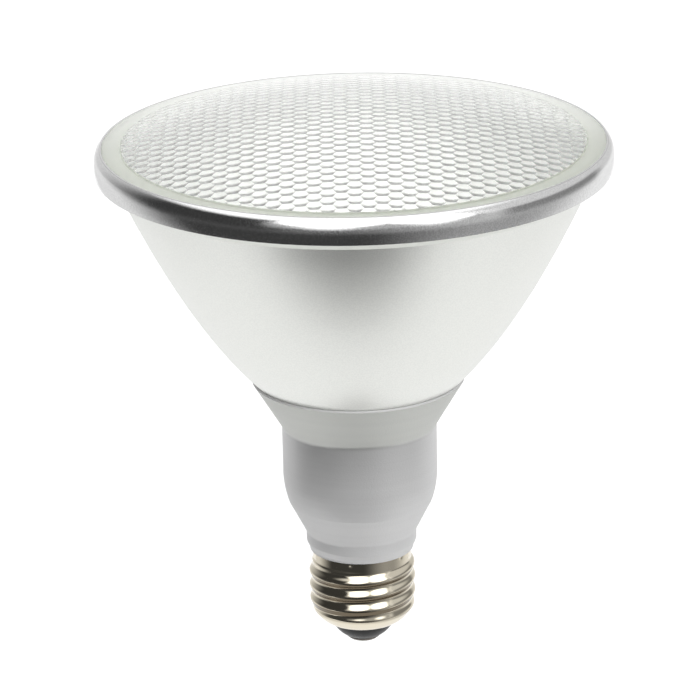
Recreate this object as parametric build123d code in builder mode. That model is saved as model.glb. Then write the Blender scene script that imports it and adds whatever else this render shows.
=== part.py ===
from build123d import *

import os
from math import atan2, cos, hypot, pi, sin, sqrt

# Reflector spotlight bulb on a skirted screw base. Millimetres, +Z from the base towards the lens.
# The origin is the middle of the centre contact's lower face, where the bulb meets its socket.

os.makedirs("parts", exist_ok=True)

# Clearance of every fit
fit_gap = 0.05

# Rim and lens
rim_diameter = 124.0
rim_height = 6.2
rim_wall_height = 4.4
rim_bulge = 0.25
rim_round = 1.25
rim_overhang = 5.4
rim_undercut = 2.6
lip_width = 0.5
lens_crown = 7.2
lens_edge = 3.4
lens_seat_width = 4.2
lens_wall = 3.2
field_margin = 1.0
cell_side = 2.05
cell_rise = 0.3

# Reflector bowl and neck
bowl_focal = 12.75
bowl_wall = 2.1
neck_wall = 3.5
neck_floor = 4.0
seal_tip_length = 5.0
seal_tip_diameter = 3.2
seal_tip_end = 1.2

# Halogen capsule
capsule_diameter = 12.0
capsule_wall = 1.0
capsule_height = 24.0
capsule_taper = 3.0
capsule_tip_diameter = 4.0
pinch_width = 11.0
pinch_thickness = 3.4
pinch_height = 10.0
focus_above_pinch = 10.0
filament_diameter = 2.2
filament_wire = 0.5
filament_length = 9.0
foil_width = 2.4
foil_height = 5.0
foil_thickness = 0.2
lead_spacing = 6.4
lead_diameter = 1.0
lead_length = 2.0
lead_above_floor = 1.0

# Mount of the capsule
post_diameter = 1.8
post_below_pinch = 0.4
post_tail = 2.0
ferrule_diameter = 5.0
ferrule_thickness = 1.0
ferrule_sleeve = 0.5

# Screw shell, to the medium screw gauge
thread_diameter = 26.1
thread_pitch = 3.629
thread_depth = 0.7
thread_crest = 0.7
thread_foot = 2.6
thread_start = 0.2
shell_sheet = 0.4
shell_mouth_diameter = 15.6
shell_mouth_z = 4.7
shell_cone_height = 4.2
shell_cone_round = 5.0
shell_neck_diameter = 24.0
shell_neck_height = 2.4
shell_in_collar = 3.4

# Contact and insulator
contact_diameter = 8.4
contact_face_diameter = 7.0
contact_height = 0.9
contact_bevel = 0.6
stem_diameter = 3.0
stem_bore = 1.0
insulator_foot_diameter = 8.9
insulator_round = 8.0
insulator_thickness = 3.6

# Skirt
skirt_sheet = 0.65
collar_z = 24.2
collar_diameter = 27.0
collar_height = 4.7
collar_round = 1.0
hem_lip = 0.4
hem_height = 2.2
taper_height = 8.0
shoulder_height = 7.6
shoulder_round = 23.4
barrel_diameter = 37.7
barrel_height = 12.1
flare_height = 11.6
flare_diameter = 51.6
flare_round = 2.0
cement_thickness = 3.45
cement_height = 10.0
cement_above_neck_end = 2.0

# Base wiring
wire_diameter = 0.8
wire_bend = 3.0
wire_drop = 4.0
wire_in_shell = 2.0
solder_diameter = 2.4
solder_height = 1.6

# Screw shell, contact and skirt, upwards from the contact
thread_radius = thread_diameter / 2
root_radius = thread_radius - thread_depth
shell_mouth = shell_mouth_diameter / 2
shell_cone_z = shell_mouth_z + shell_cone_height
shell_neck_radius = shell_neck_diameter / 2
shell_bore = shell_neck_radius - shell_sheet
shell_neck_z = collar_z - shell_neck_height
shell_top_z = collar_z + shell_in_collar
stem_top_z = shell_mouth_z + insulator_thickness
hem_radius = shell_neck_radius + fit_gap + skirt_sheet
collar_radius = collar_diameter / 2
taper_z = collar_z + collar_height
shoulder_z = taper_z + taper_height
barrel_radius = barrel_diameter / 2
barrel_z = shoulder_z + shoulder_height
shoulder_radius = barrel_radius - shoulder_round + sqrt(shoulder_round**2 - shoulder_height**2)
flare_z = barrel_z + barrel_height
flare_radius = flare_diameter / 2
flare_angle = atan2(flare_radius - barrel_radius, flare_height)
skirt_top_z = flare_z + flare_height

# Bowl, rim and lens, upwards from the skirt's upper edge, where the bowl sits
bowl_seat_radius = flare_radius - skirt_sheet * cos(flare_angle) - fit_gap
bowl_seat_z = skirt_top_z + skirt_sheet * sin(flare_angle)
bowl_vertex_z = bowl_seat_z - bowl_seat_radius**2 / (4 * bowl_focal)
rim_radius = rim_diameter / 2
bowl_top_radius = rim_radius - rim_overhang
bowl_top_z = bowl_vertex_z + bowl_top_radius**2 / (4 * bowl_focal)
rim_bottom_z = bowl_top_z + rim_undercut
crest_z = rim_bottom_z + rim_height
lens_top_z = crest_z + lens_crown
seat_z = crest_z - lens_edge
seat_radius = rim_radius - rim_bulge - rim_round - lip_width + fit_gap
lens_radius = seat_radius - fit_gap
dome_radius = (lens_radius**2 + lens_crown**2) / (2 * lens_crown)
mirror_radius = seat_radius - lens_seat_width
mirror_vertex_z = bowl_vertex_z + bowl_wall
mirror_focal = mirror_radius**2 / (4 * (seat_z - mirror_vertex_z))
focus_z = mirror_vertex_z + mirror_focal
field_radius = mirror_radius - field_margin

# Capsule, its mount and the neck, downwards from the focus
capsule_radius = capsule_diameter / 2
capsule_bore = capsule_radius - capsule_wall
pinch_top_z = focus_z - focus_above_pinch
pinch_bottom_z = pinch_top_z - pinch_height
capsule_top_z = pinch_top_z + capsule_height
foil_z = pinch_bottom_z + pinch_height / 2
foil_top_z = foil_z + foil_height / 2 + fit_gap
foil_bottom_z = foil_z - foil_height / 2 - fit_gap
lead_x = lead_spacing / 2
lead_bottom_z = pinch_bottom_z - lead_length
floor_z = lead_bottom_z - lead_above_floor
cement_radius = barrel_radius - skirt_sheet - fit_gap
neck_radius = cement_radius - cement_thickness - fit_gap
neck_bore = neck_radius - neck_wall
neck_bottom_z = floor_z - neck_floor
post_x = lead_x + (lead_diameter + post_diameter) / 2 + fit_gap
post_top_z = pinch_bottom_z - post_below_pinch
ferrule_z = neck_bottom_z - ferrule_thickness
post_bottom_z = ferrule_z - post_tail
post_hole = post_diameter / 2 + fit_gap
sleeve_radius = post_hole + ferrule_sleeve


def parabola(vertex_z, focal, start_radius, end_radius):
    """Control points of the parabola about Z from one radius to another."""
    start = (start_radius, vertex_z + start_radius**2 / (4 * focal))
    middle = ((start_radius + end_radius) / 2, vertex_z + start_radius * end_radius / (4 * focal))
    end = (end_radius, vertex_z + end_radius**2 / (4 * focal))
    return start, middle, end


def glass_z(x, y):
    """Height of the lens's outer face."""
    return lens_top_z - dome_radius + sqrt(dome_radius**2 - x**2 - y**2)


def lens_cells():
    """Centres of the hexagonal cells in the lens's field, by column and slanting row."""
    reach = int(field_radius / cell_side) + 1
    cells = {}
    for column in range(-reach, reach + 1):
        for row in range(-reach, reach + 1):
            x = 1.5 * cell_side * column
            y = sqrt(3) * cell_side * (row + column / 2)
            if hypot(x, y) < field_radius - cell_side / 2:
                cells[column, row] = (x, y)
    return cells


def cell_corner(x, y, k):
    """Corner k of the cell at x, y, drawn in to the field's round border where it lies outside."""
    corner_x = x + cell_side * cos(k * pi / 3)
    corner_y = y + cell_side * sin(k * pi / 3)
    inward = min(1, field_radius / hypot(corner_x, corner_y))
    return inward * corner_x, inward * corner_y


def lenticules():
    """Facets of the raised cells, walls round their field, and the field's border at the flange."""
    neighbours = [(1, 0), (0, 1), (-1, 1), (-1, 0), (0, -1), (1, -1)]
    cells = lens_cells()
    facets, border = [], []
    for (column, row), (x, y) in cells.items():
        crown = (x, y, glass_z(x, y) - lens_wall - cell_rise)
        corners = [cell_corner(x, y, k) for k in range(6)]
        for k, (right, up) in enumerate(neighbours):
            start, end = corners[k], corners[(k + 1) % 6]
            top_start = (*start, glass_z(*start) - lens_wall)
            top_end = (*end, glass_z(*end) - lens_wall)
            facets.append(Face(Wire.make_polygon([crown, top_start, top_end])))
            if (column + right, row + up) not in cells:
                foot_start, foot_end = (*start, seat_z), (*end, seat_z)
                facets.append(Face(Wire.make_polygon([top_start, top_end, foot_end, foot_start])))
                border.append(Edge.make_line(foot_start, foot_end))
    return facets, Wire(border)


# Lens: domed pressed glass with hexagonal lenticules on its inner face
with BuildPart() as lens_blank:
    with BuildSketch(Plane.XZ):
        with BuildLine():
            RadiusArc((0, lens_top_z), (lens_radius, crest_z), dome_radius)
            Polyline((lens_radius, crest_z), (lens_radius, seat_z), (0, seat_z), (0, lens_top_z))
        make_face()
    revolve(axis=Axis.Z)
cell_faces, field_border = lenticules()
flange, *skin = lens_blank.faces().sort_by(Axis.Z)
with BuildPart() as lens:
    add(Solid(Shell([flange.make_holes([field_border]), *skin, *cell_faces])))
lens.part.label = "lens"
export_step(lens.part, "parts/lens.step")

# Reflector: pressed glass bowl with a beaded rim, and a neck with a floor and a sealed exhaust tip
rim_foot = (rim_radius - rim_bulge, rim_bottom_z)
rim_widest = (rim_radius, rim_bottom_z + rim_wall_height / 2)
rim_shoulder = (rim_radius - rim_bulge, rim_bottom_z + rim_wall_height)
rim_crest = (rim_radius - rim_bulge - rim_round, crest_z)
bowl_curve = parabola(bowl_vertex_z, bowl_focal, neck_radius, bowl_top_radius)
mirror_curve = parabola(mirror_vertex_z, mirror_focal, mirror_radius, neck_bore)
with BuildPart() as reflector:
    with BuildSketch(Plane.XZ):
        with BuildLine():
            Polyline(
                (0, floor_z),
                (0, neck_bottom_z - seal_tip_length),
                (seal_tip_end / 2, neck_bottom_z - seal_tip_length),
                (seal_tip_diameter / 2, neck_bottom_z),
                (neck_radius, neck_bottom_z),
                bowl_curve[0],
            )
            Bezier(*bowl_curve)
            Line(bowl_curve[-1], rim_foot)
            ThreePointArc(rim_foot, rim_widest, rim_shoulder)
            TangentArc(rim_shoulder, rim_crest, tangent=(0, 1))
            Polyline(rim_crest, (seat_radius, crest_z), (seat_radius, seat_z), mirror_curve[0])
            Bezier(*mirror_curve)
            Polyline(mirror_curve[-1], (neck_bore, floor_z), (0, floor_z))
        make_face()
    revolve(axis=Axis.Z)
    with Locations((-post_x, 0, floor_z), (post_x, 0, floor_z)):
        Hole(sleeve_radius + fit_gap, depth=neck_floor)
reflector.part.label = "reflector"
export_step(reflector.part, "parts/reflector.step")

# Halogen capsule: quartz tube with a tapered tip, and a flat pinch that holds the foils and leads
with BuildPart() as capsule:
    with BuildSketch(Plane.XZ):
        with BuildLine():
            Polyline(
                (0, pinch_top_z - capsule_wall),
                (capsule_radius, pinch_top_z - capsule_wall),
                (capsule_radius, capsule_top_z - capsule_taper),
                (capsule_tip_diameter / 2, capsule_top_z),
                (0, capsule_top_z),
                (0, capsule_top_z - 2 * capsule_wall),
                (capsule_tip_diameter / 2 - capsule_wall, capsule_top_z - 2 * capsule_wall),
                (capsule_bore, capsule_top_z - capsule_taper - capsule_wall),
                (capsule_bore, pinch_top_z),
                (0, pinch_top_z),
                close=True,
            )
        make_face()
    revolve(axis=Axis.Z)
    with Locations((0, 0, pinch_top_z - pinch_height / 2)):
        Box(pinch_width, pinch_thickness, pinch_height)
    with Locations((-lead_x, 0, foil_z), (lead_x, 0, foil_z)):
        Box(
            foil_width + 2 * fit_gap,
            foil_thickness + 2 * fit_gap,
            foil_top_z - foil_bottom_z,
            mode=Mode.SUBTRACT,
        )
    with BuildSketch(Plane.XY.offset(pinch_bottom_z)):
        with Locations((-lead_x, 0), (lead_x, 0)):
            Circle(lead_diameter / 2 + fit_gap)
    extrude(amount=foil_z - pinch_bottom_z, mode=Mode.SUBTRACT)
    with BuildSketch(Plane.XY.offset(foil_z)):
        with Locations((-lead_x, 0), (lead_x, 0)):
            Circle(filament_wire / 2 + fit_gap)
    extrude(amount=pinch_top_z - foil_z, mode=Mode.SUBTRACT)
capsule.part.label = "halogen_capsule"
export_step(capsule.part, "parts/halogen_capsule.step")

# Filament: close-wound coil centred on the focus, with a leg from each end down to its foil
with BuildPart() as filament:
    with Locations((0, 0, focus_z)):
        Cylinder(filament_diameter / 2, filament_length)
    for side in (-1, 1):
        leg_foot = (side * lead_x, 0, foil_top_z)
        coil_end_z = focus_z - side * (filament_length - filament_wire) / 2
        with BuildLine() as leg:
            Polyline(leg_foot, (side * lead_x, 0, coil_end_z), (0, 0, coil_end_z))
        with BuildSketch(Plane(leg_foot)):
            Circle(filament_wire / 2)
        sweep(path=leg.line, transition=Transition.RIGHT)
filament.part.label = "filament"
export_step(filament.part, "parts/filament.step")

# Both sides of the capsule's mount: seal foil, lead, support post and ferrule
for side, name in ((-1, "left"), (1, "right")):
    with BuildPart() as foil:
        with Locations((side * lead_x, 0, foil_z)):
            Box(foil_width, foil_thickness, foil_height)
    foil.part.label = f"seal_foil_{name}"
    export_step(foil.part, f"parts/seal_foil_{name}.step")

    with BuildPart() as lead:
        with BuildSketch(Plane((side * lead_x, 0, lead_bottom_z))):
            Circle(lead_diameter / 2)
        extrude(amount=foil_bottom_z - lead_bottom_z)
    lead.part.label = f"capsule_lead_{name}"
    export_step(lead.part, f"parts/capsule_lead_{name}.step")

    with BuildPart() as post:
        with BuildSketch(Plane((side * post_x, 0, post_bottom_z))):
            Circle(post_diameter / 2)
        extrude(amount=post_top_z - post_bottom_z)
    post.part.label = f"support_post_{name}"
    export_step(post.part, f"parts/support_post_{name}.step")

    with BuildPart() as ferrule:
        with BuildSketch(Plane((side * post_x, 0, ferrule_z))):
            Circle(ferrule_diameter / 2)
        extrude(amount=ferrule_thickness)
        with BuildSketch(Plane((side * post_x, 0, neck_bottom_z))):
            Circle(sleeve_radius)
        extrude(amount=neck_floor)
        with Locations((side * post_x, 0, floor_z)):
            Hole(post_hole)
    ferrule.part.label = f"ferrule_{name}"
    export_step(ferrule.part, f"parts/ferrule_{name}.step")

# Skirt: spun aluminium sheet with a hemmed collar, a taper, a barrel and a flare that holds the bowl
with BuildPart() as skirt:
    with BuildSketch(Plane.XZ):
        with BuildLine():
            Line((hem_radius, collar_z), (hem_radius, collar_z + hem_lip))
            FilletPolyline(
                (hem_radius, collar_z + hem_lip),
                (collar_radius, collar_z + hem_height),
                (collar_radius, taper_z),
                (shoulder_radius, shoulder_z),
                radius=collar_round,
            )
            RadiusArc((shoulder_radius, shoulder_z), (barrel_radius, barrel_z), -shoulder_round)
            FilletPolyline(
                (barrel_radius, barrel_z),
                (barrel_radius, flare_z),
                (flare_radius, skirt_top_z),
                radius=flare_round,
            )
            offset(amount=skirt_sheet, side=Side.LEFT)
        make_face()
    revolve(axis=Axis.Z)
skirt.part.label = "skirt"
export_step(skirt.part, "parts/skirt.step")

# Neck cement: ring that bonds the reflector's neck in the skirt's barrel
with BuildPart() as neck_cement:
    with BuildSketch(Plane.XY.offset(neck_bottom_z + cement_above_neck_end)):
        Circle(cement_radius)
        Circle(neck_radius + fit_gap, mode=Mode.SUBTRACT)
    extrude(amount=cement_height)
neck_cement.part.label = "neck_cement"
export_step(neck_cement.part, "parts/neck_cement.step")

# Screw shell: thin nickelled sheet with a rounded lower end, a neck and a rolled thread that fades at both
thread_z = shell_cone_z + thread_start
thread_height = shell_neck_z - thread_z
with BuildPart() as screw_shell:
    with BuildLine() as thread_path:
        Helix(thread_pitch, thread_height, root_radius, center=(0, 0, thread_z))
    with BuildSketch(Plane(thread_path.line @ 0, x_dir=(1, 0, 0), z_dir=thread_path.line % 0)):
        with BuildLine():
            Polyline(
                (-shell_sheet / 2, -thread_foot / 2),
                (0, -thread_foot / 2),
                (thread_depth, -thread_crest / 2),
                (thread_depth, thread_crest / 2),
                (0, thread_foot / 2),
                (-shell_sheet / 2, thread_foot / 2),
                close=True,
            )
        make_face()
    sweep(path=thread_path.line, is_frenet=True)
    with BuildSketch(Plane.XZ):
        with BuildLine():
            Polyline(
                (0, shell_cone_z),
                (root_radius, shell_cone_z),
                (thread_radius + fit_gap, shell_cone_z + thread_pitch),
                (thread_radius + fit_gap, shell_neck_z - thread_foot / 2),
                (root_radius, shell_neck_z),
                (0, shell_neck_z),
                close=True,
            )
        make_face()
    revolve(axis=Axis.Z, mode=Mode.INTERSECT)
    with BuildSketch(Plane.XZ):
        with BuildLine():
            RadiusArc((shell_mouth, shell_mouth_z), (root_radius, shell_cone_z), -shell_cone_round)
            Polyline(
                (root_radius, shell_cone_z),
                (root_radius, shell_neck_z),
                (shell_neck_radius, shell_neck_z + root_radius - shell_neck_radius),
                (shell_neck_radius, shell_top_z),
            )
            offset(amount=shell_sheet, side=Side.LEFT)
        make_face()
    revolve(axis=Axis.Z)
screw_shell.part.label = "screw_shell"
export_step(screw_shell.part, "parts/screw_shell.step")

# Base insulator: domed black glass that closes the shell's mouth round the contact's stem
plug_radius = shell_mouth - shell_sheet - fit_gap
with BuildPart() as base_insulator:
    with BuildSketch(Plane.XZ):
        with BuildLine():
            foot = (insulator_foot_diameter / 2, contact_height + fit_gap)
            shoulder = (shell_mouth, shell_mouth_z - fit_gap)
            RadiusArc(foot, shoulder, -insulator_round)
            Polyline(
                shoulder,
                (plug_radius, shell_mouth_z - fit_gap),
                (plug_radius, stem_top_z),
                (stem_diameter / 2 + fit_gap, stem_top_z),
                (stem_diameter / 2 + fit_gap, contact_height + fit_gap),
                foot,
            )
        make_face()
    revolve(axis=Axis.Z)
base_insulator.part.label = "base_insulator"
export_step(base_insulator.part, "parts/base_insulator.step")

# Centre contact: bevelled disc with a bored stem that takes its wire
with BuildPart() as centre_contact:
    with BuildSketch(Plane.XZ):
        with BuildLine():
            Polyline(
                (0, 0),
                (contact_face_diameter / 2, 0),
                (contact_diameter / 2, contact_bevel),
                (contact_diameter / 2, contact_height),
                (stem_diameter / 2, contact_height),
                (stem_diameter / 2, stem_top_z),
                (stem_bore / 2, stem_top_z),
                (stem_bore / 2, contact_height),
                (0, contact_height),
                close=True,
            )
        make_face()
    revolve(axis=Axis.Z)
centre_contact.part.label = "centre_contact"
export_step(centre_contact.part, "parts/centre_contact.step")

# Base wires: one from the left post to the contact, one from the right post to the shell's inside
wire_x = shell_bore - fit_gap - wire_diameter / 2
wire_top_z = post_bottom_z - fit_gap
wire_end_z = shell_top_z - wire_in_shell
routes = {
    "contact_wire": [
        (-post_x, 0, wire_top_z),
        (-post_x, 0, wire_top_z - wire_drop),
        (0, 0, stem_top_z + wire_drop),
        (0, 0, contact_height + fit_gap),
    ],
    "shell_wire": [
        (post_x, 0, wire_top_z),
        (post_x, 0, wire_top_z - wire_drop),
        (wire_x, 0, shell_top_z + wire_in_shell),
        (wire_x, 0, wire_end_z),
    ],
}
for name, route in routes.items():
    with BuildPart() as wire:
        with BuildLine() as wire_line:
            FilletPolyline(*route, radius=wire_bend)
        with BuildSketch(Plane(route[0])):
            Circle(wire_diameter / 2)
        sweep(path=wire_line.line)
    wire.part.label = name
    export_step(wire.part, f"parts/{name}.step")

# Shell solder: joint of the shell wire's end to the shell
with BuildPart() as shell_solder:
    solder_x = shell_bore - fit_gap - solder_diameter / 2
    with BuildSketch(Plane((solder_x, 0, wire_end_z - fit_gap - solder_height))):
        Circle(solder_diameter / 2)
    extrude(amount=solder_height)
shell_solder.part.label = "shell_solder"
export_step(shell_solder.part, "parts/shell_solder.step")
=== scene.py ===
from math import asin, atan2, cos, exp, hypot, pi, radians, sin, sqrt, tau

import bmesh
import bpy
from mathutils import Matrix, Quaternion, Vector
from mathutils.geometry import tessellate_polygon


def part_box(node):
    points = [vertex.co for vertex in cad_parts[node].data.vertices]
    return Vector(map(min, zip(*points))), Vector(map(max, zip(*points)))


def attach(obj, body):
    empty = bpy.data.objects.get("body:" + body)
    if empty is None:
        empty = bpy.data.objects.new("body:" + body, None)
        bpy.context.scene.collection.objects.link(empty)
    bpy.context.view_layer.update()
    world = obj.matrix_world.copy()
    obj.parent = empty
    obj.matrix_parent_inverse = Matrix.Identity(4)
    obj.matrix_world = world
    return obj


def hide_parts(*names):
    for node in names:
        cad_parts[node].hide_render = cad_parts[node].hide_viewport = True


# Looks of the reflector spotlight bulb. Metres, in the CAD model's frame.

MM = 0.001

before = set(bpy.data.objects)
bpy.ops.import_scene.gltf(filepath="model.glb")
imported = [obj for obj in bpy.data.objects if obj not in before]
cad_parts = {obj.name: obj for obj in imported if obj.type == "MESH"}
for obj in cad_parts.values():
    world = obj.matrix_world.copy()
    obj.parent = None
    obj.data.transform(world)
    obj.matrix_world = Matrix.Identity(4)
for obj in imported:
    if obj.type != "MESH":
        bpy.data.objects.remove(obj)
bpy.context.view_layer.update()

# Lens, as in the part's source
LENS_LOW, LENS_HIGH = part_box("lens")
LENS_RADIUS = LENS_HIGH.x
LENS_CROWN = 7.2 * MM
LENS_WALL = 3.2 * MM
DOME_RADIUS = (LENS_RADIUS**2 + LENS_CROWN**2) / (2 * LENS_CROWN)
FIELD_RADIUS = 54.85 * MM
CELL_SIDE = 2.05 * MM
CELL_RISE = 0.3 * MM
COLUMN_STEP = 1.5 * CELL_SIDE
ROW_STEP = sqrt(3) * CELL_SIDE

# Flange of the lens, lifted a little off its seat
FLANGE_LIFT = 0.05 * MM
FLANGE_Z = LENS_LOW.z + FLANGE_LIFT

# Fineness of the lens
CELL_STEPS = 4
CORNER_STEPS_PER_METRE = 1e7
BORDER_MERGE = 0.15 * MM
DOME_RINGS = 24
DOME_SEGMENTS = 256

# Screw shell, as in the part's source
SHELL_LOW, SHELL_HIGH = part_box("screw_shell")
THREAD_RADIUS = 13.05 * MM
THREAD_DEPTH = 0.7 * MM
THREAD_ROOT = THREAD_RADIUS - THREAD_DEPTH
THREAD_PITCH = 3.629 * MM
THREAD_Z = 9.1 * MM
SHELL_SHEET = 0.4 * MM
SHELL_MOUTH = 7.8 * MM
CONE_HEIGHT = 4.2 * MM
SHELL_NECK_RADIUS = 12.0 * MM
SHELL_NECK_Z = 21.8 * MM

# Round of the shell's cone, a little flatter than in the part's source
CONE_ROUND = 6.5 * MM

# Where the shell's thread rises from the cone and sinks into the neck
THREAD_START_Z = SHELL_LOW.z + 1.5 * MM
THREAD_FULL_Z = SHELL_LOW.z + 7.0 * MM
THREAD_SINK_Z = SHELL_NECK_Z - 1.3 * MM
NECK_START_Z = SHELL_NECK_Z - 3.2 * MM
NECK_FULL_Z = SHELL_NECK_Z - 0.2 * MM

# Staking dents on the shell's neck
STAKE_ANGLES = [radians(angle) for angle in (-104, -37, 76, 143)]
STAKE_Z = 23.6 * MM
STAKE_RADIUS = 0.5 * MM
STAKE_DEPTH = 0.2 * MM

# Fineness of the shell
SHELL_TURNS = 288
SHELL_ROWS = 112
SHELL_CREASE = radians(40)

# Rim of the reflector
REFLECTOR_LOW, REFLECTOR_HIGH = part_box("reflector")
RIM_RADIUS = -REFLECTOR_LOW.x
RIM_HEIGHT = 6.2 * MM
RIM_BOTTOM = REFLECTOR_HIGH.z - RIM_HEIGHT
RIM_WALL = 4.4 * MM
RIM_BULGE = 0.25 * MM
RIM_ROUND = 1.25 * MM
RIM_LIP = 0.43 * MM
RIM_STEPS = 12
RIM_TURNS = 360

# Slack for telling the faces of the rim's outside from the rest
RIM_LIP_SLACK = 0.1 * MM
RIM_FOOT_SLACK = 0.02 * MM

# Skirt
SKIRT_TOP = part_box("skirt")[1].z

# Floor
FLOOR_Z = -0.30
FLOOR_FRONT = -0.185
FLOOR_BACK = 2.5
FLOOR_SIDE = 0.5

# Camera
CAMERA_TARGET = Vector((-1.9 * MM, 0, 75.05 * MM))
CAMERA_DISTANCE = 1.0
CAMERA_ELEVATION = radians(19.4)
CAMERA_ROLL = radians(-1.2)
CAMERA_LENS = 212.5
CAMERA_REACH = 100


def add(tree, kind, inputs=None, **settings):
    """New node with its settings, and its inputs linked or set."""
    made = tree.nodes.new(kind)
    for name, value in settings.items():
        setattr(made, name, value)
    for key, value in (inputs or {}).items():
        if isinstance(value, bpy.types.NodeSocket):
            tree.links.new(value, made.inputs[key])
        else:
            made.inputs[key].default_value = value
    return made


def maths(tree, operation, *values):
    """Result of a Math node."""
    return add(tree, "ShaderNodeMath", dict(enumerate(values)), operation=operation).outputs[0]


def vectors(tree, operation, *values):
    """Outputs of a Vector Math node."""
    return add(tree, "ShaderNodeVectorMath", dict(enumerate(values)), operation=operation).outputs


def axes(tree, vector):
    """The x, y and z of a vector."""
    return add(tree, "ShaderNodeSeparateXYZ", {0: vector}).outputs


def flattened(tree, vector):
    """The vector without its z."""
    x, y, _ = axes(tree, vector)
    return add(tree, "ShaderNodeCombineXYZ", {0: x, 1: y}).outputs[0]


def ramp(tree, value, start, end, low=0.0, high=1.0):
    """Value taken smoothly from low at start to high at end."""
    inputs = {"Value": value, "From Min": start, "From Max": end, "To Min": low, "To Max": high}
    return add(tree, "ShaderNodeMapRange", inputs, interpolation_type="SMOOTHSTEP").outputs["Result"]


def band(tree, value, start, end, soft):
    """One between start and end, and zero beyond, over soft edges."""
    rise = ramp(tree, value, start - soft, start + soft)
    fall = ramp(tree, value, end + soft, end - soft)
    return maths(tree, "MULTIPLY", rise, fall)


def blend(tree, factor, first, second):
    """First number at factor zero and second at one."""
    return add(tree, "ShaderNodeMix", {0: factor, 2: first, 3: second}).outputs[0]


def tint(tree, factor, first, second):
    """First colour at factor zero and second at one."""
    return add(tree, "ShaderNodeMix", {0: factor, 6: first, 7: second}, data_type="RGBA").outputs[2]


def noise(tree, place, size, detail=2.0):
    """Noise with features of that size."""
    inputs = {"Vector": place, "Scale": 1 / size, "Detail": detail}
    return add(tree, "ShaderNodeTexNoise", inputs).outputs["Fac"]


def grey(value, warmth=0.0):
    """Opaque grey, with some red added and blue taken away."""
    return (value * (1 + warmth), value, value * (1 - warmth), 1.0)


def material(name, **sockets):
    """New material, with its tree, its shader and the place on the surface."""
    made = bpy.data.materials.new(name)
    made.use_nodes = True
    tree = made.node_tree
    shader = tree.nodes["Principled BSDF"]
    for socket, value in sockets.items():
        shader.inputs[socket.replace("_", " ")].default_value = value
    place = add(tree, "ShaderNodeTexCoord").outputs["Object"]
    return made, tree, shader, place


def drive(tree, shader, **sockets):
    """Shader inputs linked to values that vary over the surface."""
    for socket, value in sockets.items():
        tree.links.new(value, shader.inputs[socket.replace("_", " ")])


def roughen(tree, shader, height, strength, depth):
    """Fine bump on the shader."""
    bump = add(tree, "ShaderNodeBump", {"Height": height, "Strength": strength, "Distance": depth})
    drive(tree, shader, Normal=bump.outputs[0])


# Mottling of the plain finishes
MOTTLE_BREADTH = 12
MOTTLE_SHARE = 0.5
MOTTLE_RANGE = 0.3, 0.7


def finish(name, dark, light, smooth, rough, grain, bump=0.0, **sockets):
    """Material whose colour and roughness vary over the surface, with a fine bump."""
    made, tree, shader, place = material(name, **sockets)
    fine = noise(tree, place, grain)
    broad = noise(tree, place, MOTTLE_BREADTH * grain)
    spread = ramp(tree, blend(tree, MOTTLE_SHARE, fine, broad), *MOTTLE_RANGE)
    drive(tree, shader, Base_Color=tint(tree, spread, dark, light))
    drive(tree, shader, Roughness=blend(tree, spread, smooth, rough))
    if bump:
        roughen(tree, shader, fine, bump, grain)
    return made


# Silvered glass: the satin bowl, and on it the rim's bead, the lens's seat, the crest darkened as painted
# shade, and the mirror
SATIN_DARK, SATIN_LIGHT = (0.82, 0.83, 0.8, 1), (0.87, 0.88, 0.845, 1)
SATIN_ROUGH = 0.31
SATIN_GRAIN = 0.35 * MM
SATIN_BUMP = 0.25
SATIN_BUMP_DEPTH = 0.1 * MM
SPECKLE_RANGE = 0.35, 0.65
BEAD_DARK, BEAD_LIGHT = grey(0.84), grey(0.96)
BEAD_SMOOTH, BEAD_ROUGH = 0.1, 0.18
BEAD_RELIEF = 0.1
BEAD_SOFT = 0.2 * MM
SEAT_COLOUR = (0.87, 0.89, 0.82, 1)
SEAT_ROUGH = 0.6
SEAT_REACH = 1.0 * MM
SEAT_UPWARD = 0.9
CREST_SHADE_COLOUR = grey(0.45)
CREST_REACH = 0.05 * MM
MIRROR_COLOUR = grey(0.96)
MIRROR_METAL = 0.8
MIRROR_ROUGH = 0.3
MIRROR_INWARD = -0.05


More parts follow.
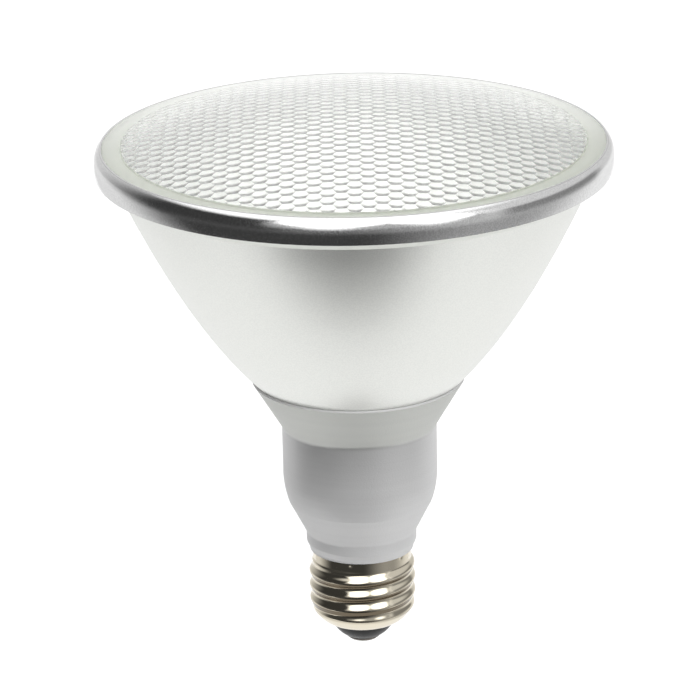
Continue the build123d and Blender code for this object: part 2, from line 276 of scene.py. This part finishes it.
def silvered_glass():
    """Satin silver on the bowl's outside, a smoother grained rim, and a mirror inside."""
    made, tree, shader, place = material("silvered_glass")
    height = axes(tree, place)[2]
    normal = add(tree, "ShaderNodeNewGeometry").outputs["Normal"]
    outward = vectors(tree, "NORMALIZE", flattened(tree, place))["Vector"]
    facing = vectors(tree, "DOT_PRODUCT", outward, normal)["Value"]
    mirror = maths(tree, "LESS_THAN", facing, MIRROR_INWARD)
    rim = ramp(tree, height, RIM_BOTTOM - BEAD_SOFT, RIM_BOTTOM + BEAD_SOFT)
    level = band(tree, height, LENS_LOW.z - SEAT_REACH, LENS_LOW.z + SEAT_REACH, BEAD_SOFT)
    upward = maths(tree, "GREATER_THAN", axes(tree, normal)[2], SEAT_UPWARD)
    seat = maths(tree, "MULTIPLY", level, upward)
    crest = maths(tree, "GREATER_THAN", height, REFLECTOR_HIGH.z - CREST_REACH)

    fine = noise(tree, place, SATIN_GRAIN)
    speckle = ramp(tree, fine, *SPECKLE_RANGE)
    satin = tint(tree, speckle, SATIN_DARK, SATIN_LIGHT)
    bead = tint(tree, speckle, BEAD_DARK, BEAD_LIGHT)
    colour = tint(tree, rim, satin, bead)
    colour = tint(tree, seat, colour, SEAT_COLOUR)
    # painted shade: the flat crest of the rim darkened to a mid grey
    colour = tint(tree, crest, colour, CREST_SHADE_COLOUR)
    colour = tint(tree, mirror, colour, MIRROR_COLOUR)
    rough = blend(tree, rim, SATIN_ROUGH, blend(tree, speckle, BEAD_SMOOTH, BEAD_ROUGH))
    rough = blend(tree, seat, rough, SEAT_ROUGH)
    rough = blend(tree, mirror, rough, MIRROR_ROUGH)
    metal = maths(tree, "SUBTRACT", blend(tree, mirror, 1.0, MIRROR_METAL), seat)
    drive(tree, shader, Base_Color=colour, Metallic=metal, Roughness=rough)
    relief = blend(tree, mirror, blend(tree, rim, 1.0, BEAD_RELIEF), 0.0)
    roughen(tree, shader, maths(tree, "MULTIPLY", fine, relief), SATIN_BUMP, SATIN_BUMP_DEPTH)
    return made


# Skirt: its pale body, the flare above darkened as painted shade, and the matt lip along its upper edge
BODY_DARK, BODY_LIGHT = grey(0.81), grey(0.85)
FLARE_SHADE_DARK, FLARE_SHADE_LIGHT = (0.605, 0.615, 0.59, 1), (0.65, 0.66, 0.63, 1)
FLARE_START_Z, FLARE_FULL_Z = 55.5 * MM, 57.5 * MM
SKIRT_LIP_COLOUR = grey(0.9)
SKIRT_LIP_START_Z, SKIRT_LIP_FULL_Z = SKIRT_TOP - 0.45 * MM, SKIRT_TOP - 0.25 * MM
SKIRT_SMOOTH, SKIRT_ROUGH = 0.38, 0.46
SKIRT_METAL_LOW, SKIRT_METAL_HIGH = 0.3, 0.72
SKIRT_METAL_START_Z, SKIRT_METAL_FULL_Z = 36 * MM, 58 * MM
SKIRT_GRAIN = 0.35 * MM
SKIRT_GRAIN_SHARE = 0.4
SKIRT_BUMP = 0.2
MARK_HEIGHT = 2.5 * MM
MARK_DETAIL = 4.0
MARK_RANGE = 0.35, 0.65


def skirt_aluminium():
    """Spun aluminium with faint turning marks, less metallic towards the collar and darkened on the flare
    as painted shade.
    """
    made, tree, shader, place = material("skirt_aluminium")
    height = axes(tree, place)[2]
    level = add(tree, "ShaderNodeCombineXYZ", {2: height}).outputs[0]
    grain = noise(tree, place, SKIRT_GRAIN)
    marks = ramp(tree, noise(tree, level, MARK_HEIGHT, MARK_DETAIL), *MARK_RANGE)
    spread = blend(tree, SKIRT_GRAIN_SHARE, marks, grain)
    lip = ramp(tree, height, SKIRT_LIP_START_Z, SKIRT_LIP_FULL_Z)
    body = tint(tree, spread, BODY_DARK, BODY_LIGHT)
    # painted shade: the flare's colour darker than the body's
    flare = tint(tree, spread, FLARE_SHADE_DARK, FLARE_SHADE_LIGHT)
    colour = tint(tree, ramp(tree, height, FLARE_START_Z, FLARE_FULL_Z), body, flare)
    colour = tint(tree, lip, colour, SKIRT_LIP_COLOUR)
    rough = blend(tree, spread, SKIRT_SMOOTH, SKIRT_ROUGH)
    metal = ramp(
        tree, height, SKIRT_METAL_START_Z, SKIRT_METAL_FULL_Z, SKIRT_METAL_LOW, SKIRT_METAL_HIGH
    )
    metal = blend(tree, lip, metal, 0.0)
    drive(tree, shader, Base_Color=colour, Metallic=metal, Roughness=rough)
    roughen(tree, shader, grain, SKIRT_BUMP, SKIRT_GRAIN)
    return made


# Nickelled shell, and painted shade on it: brown by how far the surface faces down and by height, for the
# shadowed ground that the thread's lower flanks mirror
NICKEL_DARK, NICKEL_LIGHT = (0.8, 0.735, 0.59, 1), (0.87, 0.8, 0.66, 1)
NICKEL_SMOOTH, NICKEL_ROUGH = 0.06, 0.13
NICKEL_MOTTLE = 4 * MM
PAINTED_SHADE_COLOUR = (0.16, 0.13, 0.09, 1)
PAINTED_SHADE_FACING = -0.06, -0.34
PAINTED_SHADE_START_Z, PAINTED_SHADE_FULL_Z = SHELL_LOW.z + 3 * MM, SHELL_LOW.z + 5 * MM


def nickelled_shell():
    """Bright warm nickel, with painted shade in brown where the thread faces down."""
    made, tree, shader, place = material("nickelled_shell", Metallic=1.0)
    mottle = noise(tree, place, NICKEL_MOTTLE)
    normal = add(tree, "ShaderNodeNewGeometry").outputs["Normal"]
    down = ramp(tree, axes(tree, normal)[2], *PAINTED_SHADE_FACING)
    above = ramp(tree, axes(tree, place)[2], PAINTED_SHADE_START_Z, PAINTED_SHADE_FULL_Z)
    bright = tint(tree, mottle, NICKEL_DARK, NICKEL_LIGHT)
    # painted shade: brown on the thread's downward flanks, above the cone
    colour = tint(tree, maths(tree, "MULTIPLY", down, above), bright, PAINTED_SHADE_COLOUR)
    drive(tree, shader, Base_Color=colour, Roughness=blend(tree, mottle, NICKEL_SMOOTH, NICKEL_ROUGH))
    return made


# Clear glass of the capsule and the lens, and the lens's sealed flange and edge
GLASS_INDEX = 1.5
GLASS_ROUGH = 0.03
QUARTZ_THIN, QUARTZ_DEEP = grey(0.99), grey(0.96)
QUARTZ_WAVE = 3 * MM
LENS_THIN, LENS_DEEP = (0.988, 0.996, 0.98, 1), (0.973, 0.988, 0.96, 1)
LENS_WAVE = 6 * MM
CELL_SMOOTH, CELL_ROUGH = 0.2, 0.26
SEALED_COLOUR = (0.79, 0.81, 0.75, 1)
SEALED_ROUGH = 0.6
SEALED_TOP_Z = LENS_LOW.z + 1.1 * MM
SEALED_RADIUS = LENS_RADIUS - 0.02 * MM


def quartz():
    """Clear glass with a faint tint and waviness."""
    made, tree, shader, place = material("quartz", Transmission_Weight=1.0, IOR=GLASS_INDEX)
    drift = noise(tree, place, QUARTZ_WAVE)
    drive(tree, shader, Base_Color=tint(tree, drift, QUARTZ_THIN, QUARTZ_DEEP))
    drive(tree, shader, Roughness=blend(tree, drift, 0.0, GLASS_ROUGH))
    return made


def lens_glass():
    """Clear pressed glass, softer on its cells, matt and pale where it is sealed to the reflector."""
    made, tree, shader, place = material("lens_glass", IOR=GLASS_INDEX)
    height = axes(tree, place)[2]
    radius = vectors(tree, "LENGTH", flattened(tree, place))["Value"]
    low = maths(tree, "LESS_THAN", height, SEALED_TOP_Z)
    edge = maths(tree, "GREATER_THAN", radius, SEALED_RADIUS)
    sealed = maths(tree, "MAXIMUM", low, edge)
    drop = maths(tree, "SUBTRACT", LENS_HIGH.z, height)
    sag = maths(tree, "DIVIDE", maths(tree, "MULTIPLY", radius, radius), 2 * DOME_RADIUS)
    inner = maths(tree, "GREATER_THAN", maths(tree, "SUBTRACT", drop, sag), LENS_WALL / 2)

    drift = noise(tree, place, LENS_WAVE)
    colour = tint(tree, sealed, tint(tree, drift, LENS_THIN, LENS_DEEP), SEALED_COLOUR)
    dome_rough = blend(tree, drift, 0.0, GLASS_ROUGH)
    cell_rough = blend(tree, drift, CELL_SMOOTH, CELL_ROUGH)
    rough = blend(tree, sealed, blend(tree, inner, dome_rough, cell_rough), SEALED_ROUGH)
    clear = maths(tree, "SUBTRACT", 1.0, sealed)
    drive(tree, shader, Base_Color=colour, Roughness=rough, Transmission_Weight=clear)
    return made


# Finishes by material slot
finishes = {
    "lens_glass": lens_glass(),
    "silvered_glass": silvered_glass(),
    "quartz": quartz(),
    "skirt_aluminium": skirt_aluminium(),
    "nickelled_shell": nickelled_shell(),
}

# Plain finishes by material slot
plain = {
    "tungsten": dict(
        dark=grey(0.16), light=grey(0.3), smooth=0.35, rough=0.5, grain=0.1 * MM, Metallic=1.0
    ),
    "molybdenum": dict(
        dark=grey(0.4), light=grey(0.5), smooth=0.3, rough=0.45, grain=0.2 * MM, Metallic=1.0
    ),
    "nickel_wire": dict(
        dark=grey(0.5), light=grey(0.65), smooth=0.2, rough=0.35, grain=0.2 * MM, Metallic=1.0
    ),
    "cement": dict(
        dark=grey(0.5, 0.06), light=grey(0.62, 0.06), smooth=0.8, rough=0.95, grain=0.4 * MM, bump=0.5
    ),
    "black_glass": dict(
        dark=grey(0.008),
        light=grey(0.02),
        smooth=0.25,
        rough=0.4,
        grain=0.5 * MM,
        bump=0.05,
        Specular_IOR_Level=0.3,
    ),
    "contact_brass": dict(
        dark=grey(0.14, 0.15),
        light=grey(0.24, 0.12),
        smooth=0.35,
        rough=0.5,
        grain=0.3 * MM,
        bump=0.1,
        Metallic=1.0,
    ),
    "copper_wire": dict(
        dark=(0.6, 0.3, 0.17, 1),
        light=(0.75, 0.4, 0.25, 1),
        smooth=0.25,
        rough=0.4,
        grain=0.2 * MM,
        Metallic=1.0,
    ),
    "solder": dict(
        dark=grey(0.5), light=grey(0.62), smooth=0.3, rough=0.45, grain=0.2 * MM, bump=0.2, Metallic=1.0
    ),
}
for slot, look in plain.items():
    finishes[slot] = finish(slot, **look)


def piece(name, mesh, node, slot):
    """New piece in place of a CAD node, with that slot's finish, riding on the bulb."""
    made = bpy.data.objects.new(name, mesh)
    bpy.context.collection.objects.link(made)
    made.data.materials.append(finishes[slot])
    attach(made, "root")
    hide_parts(node)


def smoothed(made, name, crease=tau):
    """Mesh from those faces, turned outwards, and smooth but for creases and edges bent by that angle."""
    bmesh.ops.recalc_face_normals(made, faces=made.faces)
    for face in made.faces:
        face.smooth = True
    for edge in made.edges:
        if edge.calc_face_angle(0) >= crease:
            edge.smooth = False
    mesh = bpy.data.meshes.new(name)
    made.to_mesh(mesh)
    made.free()
    return mesh


def glass_z(radius):
    """Height of the lens's outer face."""
    return LENS_HIGH.z - DOME_RADIUS + sqrt(DOME_RADIUS**2 - radius**2)


def cell_z(x, y):
    """Height of the lens's inner face, which bulges down in each hexagonal cell."""
    column = round(x / COLUMN_STEP)
    nearest = CELL_SIDE**2
    for near in (column - 1, column, column + 1):
        row = round(y / ROW_STEP - near / 2)
        away_x = x - COLUMN_STEP * near
        away_y = y - ROW_STEP * (row + near / 2)
        nearest = min(nearest, away_x**2 + away_y**2)
    return glass_z(hypot(x, y)) - LENS_WALL - CELL_RISE * (1 - nearest / CELL_SIDE**2)


def cell_centres():
    """Centres of the cells that reach into the lens's field, by column and slanting row."""
    reach = int(FIELD_RADIUS / CELL_SIDE) + 2
    for column in range(-reach, reach + 1):
        for row in range(-reach, reach + 1):
            x = COLUMN_STEP * column
            y = ROW_STEP * (row + column / 2)
            if hypot(x, y) <= FIELD_RADIUS + CELL_SIDE:
                yield x, y


def cell_triangles():
    """Triangles in a sixth of a cell, as steps from its centre towards two neighbouring corners."""
    for i in range(CELL_STEPS):
        for j in range(CELL_STEPS - i):
            yield (i, j), (i, j + 1), (i + 1, j)
            if i + j + 2 <= CELL_STEPS:
                yield (i + 1, j), (i, j + 1), (i + 1, j + 1)


def field_corner(made, corners, x, y):
    """Corner of the inner face, drawn in to the field's border and made once for each place."""
    inward = min(1, FIELD_RADIUS / max(hypot(x, y), MM))
    x, y = inward * x, inward * y
    key = (round(x * CORNER_STEPS_PER_METRE), round(y * CORNER_STEPS_PER_METRE))
    if key not in corners:
        corners[key] = made.verts.new((x, y, cell_z(x, y)))
    return corners[key]


def add_cells(made):
    """Rounded hexagonal lenticules of the lens's inner face, with a crease between neighbours."""
    corners, creases = {}, set()
    step = CELL_SIDE / CELL_STEPS
    spokes = [(cos(k * pi / 3), sin(k * pi / 3)) for k in range(6)]
    for x, y in cell_centres():
        for (ax, ay), (bx, by) in zip(spokes, spokes[1:] + spokes[:1]):
            for triangle in cell_triangles():
                points = [(x + step * (i * ax + j * bx), y + step * (i * ay + j * by)) for i, j in triangle]
                if all(hypot(*point) >= FIELD_RADIUS for point in points):
                    continue
                verts = [field_corner(made, corners, *point) for point in points]
                if len(set(verts)) == 3 and not made.faces.get(verts):
                    made.faces.new(verts)
                ends = [vert for vert, spot in zip(verts, triangle) if sum(spot) == CELL_STEPS]
                if len(ends) == 2:
                    creases.add(frozenset(ends))
    for edge in made.edges:
        edge.smooth = frozenset(edge.verts) not in creases


def open_edges(made):
    """Edges with a face on one side only."""
    return [edge for edge in made.edges if edge.is_boundary]


def around(edges):
    """Corners of those edges in order round the axis."""
    verts = {vert for edge in edges for vert in edge.verts}
    return sorted(verts, key=lambda vert: atan2(vert.co.y, vert.co.x))


def sharpen(edges):
    """Those edges made creases."""
    for edge in edges:
        edge.smooth = False


def grow(made, edges, radius, z):
    """Ring of faces from those edges to that radius and height. Returns its new border."""
    grown = bmesh.ops.extrude_edge_only(made, edges=edges)["geom"]
    for vert in (item for item in grown if isinstance(item, bmesh.types.BMVert)):
        scale = radius / hypot(vert.co.x, vert.co.y)
        vert.co = (vert.co.x * scale, vert.co.y * scale, z)
    border = [item for item in grown if isinstance(item, bmesh.types.BMEdge) and item.is_boundary]
    for edge in border:
        edge.smooth = True
    return border


def lens_mesh():
    """Domed glass with rounded hexagonal lenticules on its inner face and a flat flange round them."""
    made = bmesh.new()
    add_cells(made)
    bmesh.ops.remove_doubles(made, verts=around(open_edges(made)), dist=BORDER_MERGE)
    border = open_edges(made)
    sharpen(border)
    border = grow(made, border, FIELD_RADIUS, FLANGE_Z)
    sharpen(border)
    field = around(border)

    angles = [tau * k / DOME_SEGMENTS for k in range(DOME_SEGMENTS)]
    seat = [made.verts.new((LENS_RADIUS * cos(a), LENS_RADIUS * sin(a), FLANGE_Z)) for a in angles]
    outlines = [[vert.co for vert in seat], [vert.co for vert in field]]
    for triangle in tessellate_polygon(outlines):
        made.faces.new([(seat + field)[k] for k in triangle])
    border = [made.edges.get((seat[k - 1], seat[k])) for k in range(DOME_SEGMENTS)]
    sharpen(border)
    border = grow(made, border, LENS_RADIUS, LENS_HIGH.z - LENS_CROWN)
    sharpen(border)
    for step in range(1, DOME_RINGS):
        radius = LENS_RADIUS * (1 - step / DOME_RINGS)
        border = grow(made, border, radius, glass_z(radius))
    top = made.verts.new((0, 0, LENS_HIGH.z))
    for edge in border:
        made.faces.new((*edge.verts, top))
    return smoothed(made, "lens_cells")


def fade(value, start, end):
    """Smooth step from zero at start to one at end."""
    share = min(1, max(0, (value - start) / (end - start)))
    return share * share * (3 - 2 * share)


def cone_radius(z):
    """Outer radius of the shell's rounded lower cone, and of the thread's root above it."""
    if z >= SHELL_LOW.z + CONE_HEIGHT:
        return THREAD_ROOT
    half = hypot(THREAD_ROOT - SHELL_MOUTH, CONE_HEIGHT) / 2
    back = sqrt(CONE_ROUND**2 - half**2) / (2 * half)
    centre_radius = (THREAD_ROOT + SHELL_MOUTH) / 2 - back * CONE_HEIGHT
    centre_z = SHELL_LOW.z + CONE_HEIGHT / 2 + back * (THREAD_ROOT - SHELL_MOUTH)
    return centre_radius + sqrt(CONE_ROUND**2 - (z - centre_z) ** 2)


def shell_radius(angle, z):
    """Outer radius of the screw shell, with its rolled thread, lower cone and staked upper band."""
    wave = 0.5 + 0.5 * cos(tau * ((z - THREAD_Z) / THREAD_PITCH - angle / tau))
    depth = THREAD_DEPTH * fade(z, THREAD_START_Z, THREAD_FULL_Z)
    depth *= 1 - fade(z, THREAD_SINK_Z, SHELL_NECK_Z)
    neck = fade(z, NECK_START_Z, NECK_FULL_Z)
    dent = 0
    for stake in STAKE_ANGLES:
        turn = (angle - stake + pi) % tau - pi
        away = hypot(turn * SHELL_NECK_RADIUS, z - STAKE_Z) / STAKE_RADIUS
        dent += STAKE_DEPTH * exp(-(away**2))
    return cone_radius(z) * (1 - neck) + SHELL_NECK_RADIUS * neck + depth * wave - dent


def shell_rings(made, inset):
    """Rings of corners up one face of the shell, which lies that far behind the outer face."""
    rings = []
    for row in range(SHELL_ROWS + 1):
        z = SHELL_LOW.z + row / SHELL_ROWS * (SHELL_HIGH.z - SHELL_LOW.z)
        ring = []
        for turn in range(SHELL_TURNS):
            angle = tau * turn / SHELL_TURNS
            radius = shell_radius(angle, z) - inset
            ring.append(made.verts.new((radius * cos(angle), radius * sin(angle), z)))
        rings.append(ring)
    return rings


def shell_mesh():
    """Thin rolled sheet: the outer face, and the inner one a sheet's thickness behind it."""
    made = bmesh.new()
    outer = shell_rings(made, 0)
    inner = shell_rings(made, SHELL_SHEET)
    loop = outer + inner[::-1]
    for low, high in zip(loop, loop[1:] + loop[:1]):
        for k in range(SHELL_TURNS):
            after = (k + 1) % SHELL_TURNS
            made.faces.new((low[k], low[after], high[after], high[k]))
    return smoothed(made, "rolled_shell", SHELL_CREASE)


def rim_outside():
    """Radius, height and lean of the rim's outside, from its foot over its wall and its round."""
    wall = ((RIM_WALL / 2) ** 2 + RIM_BULGE**2) / (2 * RIM_BULGE)
    lean = asin(RIM_WALL / 2 / wall)
    points = []
    for step in range(RIM_STEPS + 1):
        turn = lean * (2 * step / RIM_STEPS - 1)
        radius = RIM_RADIUS - wall * (1 - cos(turn))
        points.append((radius, RIM_BOTTOM + RIM_WALL / 2 + wall * sin(turn), turn))
    rise = RIM_HEIGHT - RIM_WALL
    end = 2 * atan2(RIM_ROUND, rise) - lean
    round_radius = hypot(RIM_ROUND, rise) / (2 * sin((end - lean) / 2))
    start_radius, start_z, _ = points[-1]
    for step in range(1, RIM_STEPS + 1):
        turn = lean + (end - lean) * step / RIM_STEPS
        radius = start_radius + round_radius * (cos(turn) - cos(lean))
        points.append((radius, start_z + round_radius * (sin(turn) - sin(lean)), turn))
    return points


def turned(outline, first):
    """Corners, faces and corner normals of an outline turned round the axis, numbered from first."""
    angles = [tau * k / RIM_TURNS for k in range(RIM_TURNS)]
    verts = [(radius * cos(a), radius * sin(a), z) for radius, z, _ in outline for a in angles]
    faces, normals = [], []
    for row in range(len(outline) - 1):
        ring = first + row * RIM_TURNS
        low, high = outline[row][2], outline[row + 1][2]
        for k in range(RIM_TURNS):
            after = (k + 1) % RIM_TURNS
            faces.append((ring + k, ring + after, ring + RIM_TURNS + after, ring + RIM_TURNS + k))
            for lean, turn in ((low, k), (low, after), (high, after), (high, k)):
                normals.append((cos(lean) * cos(angles[turn]), cos(lean) * sin(angles[turn]), sin(lean)))
    return verts, faces, normals


def on_rim(spots, lip_radius):
    """Whether a face with those corners is on the rim's outside or its lip."""
    radii = [hypot(spot.x, spot.y) for spot in spots]
    above = all(spot.z > RIM_BOTTOM - RIM_FOOT_SLACK for spot in spots)
    outer = min(radii) > lip_radius - RIM_LIP_SLACK
    bore = max(radii) < lip_radius + RIM_LIP_SLACK
    return above and outer and not bore


def reflector_mesh():
    """The reflector with the outside of its rim turned again in one smooth sweep."""
    outside = rim_outside()
    crest_radius = outside[-1][0]
    lip_radius = crest_radius - RIM_LIP
    lip = [(radius, REFLECTOR_HIGH.z, pi / 2) for radius in (crest_radius, lip_radius)]

    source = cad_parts["reflector"].data
    verts = [vert.co.copy() for vert in source.vertices]
    faces, normals, smooth = [], [], []
    for face in source.polygons:
        if on_rim([verts[k] for k in face.vertices], lip_radius):
            continue
        faces.append(tuple(face.vertices))
        normals += [source.corner_normals[k].vector.copy() for k in face.loop_indices]
        smooth.append(face.use_smooth)
    for outline in (outside, lip):
        new_verts, new_faces, new_normals = turned(outline, len(verts))
        verts += new_verts
        faces += new_faces
        normals += new_normals
        smooth += [True] * len(new_faces)
    mesh = bpy.data.meshes.new("pressed_reflector")
    mesh.from_pydata(verts, [], faces)
    mesh.polygons.foreach_set("use_smooth", smooth)
    mesh.normals_split_custom_set(normals)

    used = {k for face in faces for k in face}
    made = bmesh.new()
    made.from_mesh(mesh)
    bmesh.ops.delete(made, geom=[vert for vert in made.verts if vert.index not in used], context="VERTS")
    made.to_mesh(mesh)
    made.free()
    return mesh


piece("lens_cells", lens_mesh(), "lens", "lens_glass")
piece("pressed_reflector", reflector_mesh(), "reflector", "silvered_glass")
piece("rolled_shell", shell_mesh(), "screw_shell", "nickelled_shell")

# Finishes of the CAD nodes that stay
slots = {
    "halogen_capsule": "quartz",
    "filament": "tungsten",
    "seal_foil_left": "molybdenum",
    "seal_foil_right": "molybdenum",
    "capsule_lead_left": "molybdenum",
    "capsule_lead_right": "molybdenum",
    "support_post_left": "nickel_wire",
    "support_post_right": "nickel_wire",
    "ferrule_left": "nickel_wire",
    "ferrule_right": "nickel_wire",
    "skirt": "skirt_aluminium",
    "neck_cement": "cement",
    "base_insulator": "black_glass",
    "centre_contact": "contact_brass",
    "contact_wire": "copper_wire",
    "shell_wire": "copper_wire",
    "shell_solder": "solder",
}
for node, slot in slots.items():
    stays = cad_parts[node]
    stays.data.materials.clear()
    stays.data.materials.append(finishes[slot])

# Floor: matt white, with a glow of its own in mirrors and glass and to the camera
FLOOR_COLOUR = grey(0.75)
FLOOR_MIRRORED_GLOW = 0.2
FLOOR_CAMERA_GLOW = 0.38


def floor_white():
    """White that takes the object's shadow, and is lifted by its glow."""
    made = bpy.data.materials.new("floor_white")
    made.use_nodes = True
    tree = made.node_tree
    tree.nodes.clear()
    ray = add(tree, "ShaderNodeLightPath").outputs
    mirrored = maths(tree, "MAXIMUM", ray["Is Glossy Ray"], ray["Is Transmission Ray"])
    glow = maths(tree, "MULTIPLY", ray["Is Camera Ray"], FLOOR_CAMERA_GLOW)
    glow = maths(tree, "MULTIPLY_ADD", mirrored, FLOOR_MIRRORED_GLOW, glow)
    matt = add(tree, "ShaderNodeBsdfDiffuse", {"Color": FLOOR_COLOUR}).outputs[0]
    glowing = add(tree, "ShaderNodeEmission", {"Strength": glow}).outputs[0]
    surface = add(tree, "ShaderNodeAddShader", {0: matt, 1: glowing}).outputs[0]
    add(tree, "ShaderNodeOutputMaterial", {"Surface": surface})
    return made


floor_mesh = bpy.data.meshes.new("floor")
floor_mesh.from_pydata(
    [
        (-FLOOR_SIDE, FLOOR_FRONT, FLOOR_Z),
        (FLOOR_SIDE, FLOOR_FRONT, FLOOR_Z),
        (FLOOR_SIDE, FLOOR_BACK, FLOOR_Z),
        (-FLOOR_SIDE, FLOOR_BACK, FLOOR_Z),
    ],
    [],
    [(0, 1, 2, 3)],
)
floor_mesh.materials.append(floor_white())
floor = bpy.data.objects.new("floor", floor_mesh)
bpy.context.collection.objects.link(floor)

# World: white to the camera, and for the rest a studio of dark and bright panels
HORIZON_LIGHT, ZENITH_LIGHT = 1.0, 1.25
FRONT_FOOT_LEFT, FRONT_FOOT_RIGHT = 0.12, 0.5
LEFT_PANEL_FRONT, LEFT_PANEL_BACK = 0.04, 0.65
RIGHT_PANEL = 0.64
RIGHT_SHADE = 0.23
FRONT_PANEL = 0.4
LAMP_PANEL = 2.0
GROUND_FRONT, GROUND_FRONT_RIGHT = 0.045, 0.33
GROUND_RIGHT = 0.85
GROUND_LEFT = 0.75
GROUND_DEEP = 1.0
BACK_PANEL = 1.2
GLASS_LIGHT_HIGH, GLASS_LIGHT_LOW = 1.25, 1.9
GLASS_LIGHT_SHARE = 0.9
CAMERA_LIGHT = 1.0

world = bpy.data.worlds.new("studio")
bpy.context.scene.world = world
world.use_nodes = True
sky = world.node_tree
sky.nodes.clear()
way = axes(sky, add(sky, "ShaderNodeTexCoord").outputs["Generated"])
azimuth = maths(sky, "ARCTAN2", way[0], maths(sky, "MULTIPLY", way[1], -1.0))
elevation = maths(sky, "ARCSINE", way[2])
ray = add(sky, "ShaderNodeLightPath").outputs


def turning(start, end, low=0.0, high=1.0):
    """Low at the start azimuth and high at the end, in degrees from the front to the right."""
    return ramp(sky, azimuth, radians(start), radians(end), low, high)


def climbing(start, end, low=0.0, high=1.0):
    """Low at the start elevation and high at the end, in degrees above the horizon."""
    return ramp(sky, elevation, radians(start), radians(end), low, high)


def across(left, right, soft):
    """One between two azimuths, with soft edges."""
    return band(sky, azimuth, radians(left), radians(right), radians(soft))


def upward(bottom, top, soft):
    """One between two elevations, with soft edges."""
    return band(sky, elevation, radians(bottom), radians(top), radians(soft))


def both(first, second):
    """Where the two parts of the sky overlap."""
    return maths(sky, "MULTIPLY", first, second)


def zone(left, right, bottom, top, soft):
    """One in that part of the sky, with soft edges."""
    return both(across(left, right, soft), upward(bottom, top, soft))


def oval(azimuth_at, elevation_at, wide, tall, soft):
    """One inside that ellipse of the sky, with an edge soft by that share of its size."""
    aside = maths(sky, "DIVIDE", maths(sky, "SUBTRACT", azimuth, radians(azimuth_at)), radians(wide))
    above = maths(sky, "DIVIDE", maths(sky, "SUBTRACT", elevation, radians(elevation_at)), radians(tall))
    squares = maths(sky, "MULTIPLY_ADD", aside, aside, maths(sky, "MULTIPLY", above, above))
    return ramp(sky, maths(sky, "SQRT", squares), 1 + soft, 1 - soft)


def panel(light, where, level):
    """That light, with another level laid over a part of the sky."""
    return blend(sky, where, light, level)


# Sky, and the dark foot of the front
light = climbing(start=5, end=30, low=HORIZON_LIGHT, high=ZENITH_LIGHT)
foot = turning(start=-10, end=60, low=FRONT_FOOT_LEFT, high=FRONT_FOOT_RIGHT)
light = panel(light, both(across(left=-110, right=110, soft=20), climbing(start=7, end=1)), foot)

# Panels to the left, the right and the front, and two lamps in front
left_light = turning(start=-95, end=-155, low=LEFT_PANEL_FRONT, high=LEFT_PANEL_BACK)
light = panel(light, zone(left=-165, right=-34, bottom=-10, top=45, soft=10), left_light)
light = panel(light, zone(left=62, right=172, bottom=-8, top=56, soft=9), RIGHT_PANEL)
light = panel(light, zone(left=66, right=132, bottom=-10, top=14, soft=7), RIGHT_SHADE)
light = panel(light, zone(left=-37, right=60, bottom=2, top=56, soft=5), FRONT_PANEL)
light = panel(light, oval(azimuth_at=-12, elevation_at=45, wide=25, tall=41, soft=0.2), LAMP_PANEL)
light = panel(light, oval(azimuth_at=36, elevation_at=45, wide=21, tall=41, soft=0.2), LAMP_PANEL)

# Ground: dark in front, paler to the sides, and white deep down except in front
ground = turning(start=0, end=60, low=GROUND_FRONT, high=GROUND_FRONT_RIGHT)
ground = blend(sky, turning(start=75, end=135), ground, GROUND_RIGHT)
ground = blend(sky, turning(start=-75, end=-130), ground, GROUND_LEFT)
light = panel(light, climbing(start=-6, end=-16), ground)
not_front = maths(sky, "SUBTRACT", 1.0, across(left=-60, right=50, soft=10))
light = panel(light, both(climbing(start=-38, end=-52), not_front), GROUND_DEEP)

# Bright back, seen in the far part of the lens
backward = ramp(sky, maths(sky, "ABSOLUTE", azimuth), start=radians(162), end=radians(174))
light = panel(light, both(backward, upward(bottom=-10, top=14, soft=5)), BACK_PANEL)

# Light through glass, and the camera's own view
glass_light = climbing(start=65, end=40, low=GLASS_LIGHT_HIGH, high=GLASS_LIGHT_LOW)
light = panel(light, maths(sky, "MULTIPLY", ray["Is Transmission Ray"], GLASS_LIGHT_SHARE), glass_light)
light = panel(light, ray["Is Camera Ray"], CAMERA_LIGHT)
background = add(sky, "ShaderNodeBackground", {"Color": grey(1.0), "Strength": light}).outputs[0]
add(sky, "ShaderNodeOutputWorld", {"Surface": background})

# Camera at the photograph's viewing angle
camera_data = bpy.data.cameras.new("camera")
camera_data.lens = CAMERA_LENS
camera_data.clip_end = CAMERA_REACH
camera = bpy.data.objects.new("camera", camera_data)
bpy.context.collection.objects.link(camera)
back = Vector((0, -cos(CAMERA_ELEVATION), sin(CAMERA_ELEVATION)))
camera.location = CAMERA_TARGET + CAMERA_DISTANCE * back
camera.rotation_mode = "QUATERNION"
camera.rotation_quaternion = back.to_track_quat("Z", "Y") @ Quaternion((0, 0, 1), CAMERA_ROLL)
bpy.context.scene.camera = camera
bpy.context.scene.view_settings.view_transform = "Standard"
